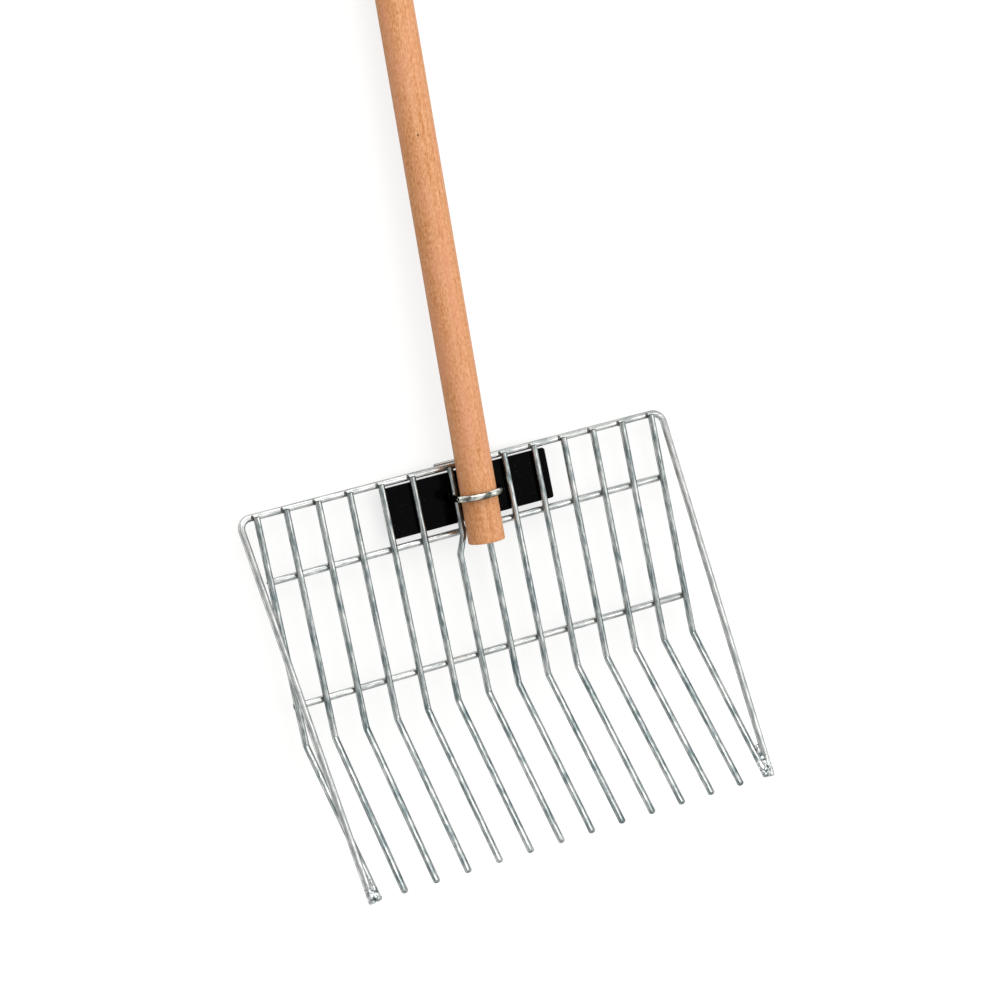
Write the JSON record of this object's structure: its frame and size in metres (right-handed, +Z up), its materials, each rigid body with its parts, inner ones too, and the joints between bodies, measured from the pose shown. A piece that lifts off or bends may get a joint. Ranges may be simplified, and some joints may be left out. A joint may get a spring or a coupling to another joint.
{
  "type": "manure fork",
  "caption": "Manure fork with a scoop-shaped head of bent zinc-plated wire tines, clamped to a round beech handle by a U-bolt and a black backing plate.",
  "frame": {"origin": "on the ground under the middle of the fork's bounding box, as it lies on its back", "axes": "+Y along the handle from the tines to the handle's free end, +Z up out of the scoop's hollow side, +X across the tines, to the right in the picture"},
  "size_m": [0.3873, 1.5893, 0.1173],
  "materials": {
    "zinc_wire": "zinc plated, satin",
    "zinc_rod": "zinc plated, bright satin",
    "weld_bead": "zinc plated, lumpy",
    "bright_zinc": "bright zinc, polished",
    "black_enamel": "gloss black",
    "beech": "sanded, oiled"
  },
  "bodies": {
    "root": {"tine_01": "zinc_wire", "tine_02": "zinc_wire", "tine_03": "zinc_wire", "tine_04": "zinc_wire", "tine_05": "zinc_wire", "tine_06": "zinc_wire", "tine_07": "zinc_wire", "tine_08": "zinc_wire", "tine_09": "zinc_wire", "tine_10": "zinc_wire", "tine_11": "zinc_wire", "tine_12": "zinc_wire", "tine_13": "zinc_wire", "tine_14": "zinc_wire", "frame_rod": "zinc_rod", "middle_rod": "zinc_rod", "low_rod": "zinc_rod", "brace_rod": "zinc_rod", "left_tip_weld": "weld_bead", "right_tip_weld": "weld_bead", "backing_plate": "black_enamel", "u_bolt": "bright_zinc", "clamp_washers": "bright_zinc", "clamp_nuts": "bright_zinc", "handle": "beech"}
  },
  "joints": []
}
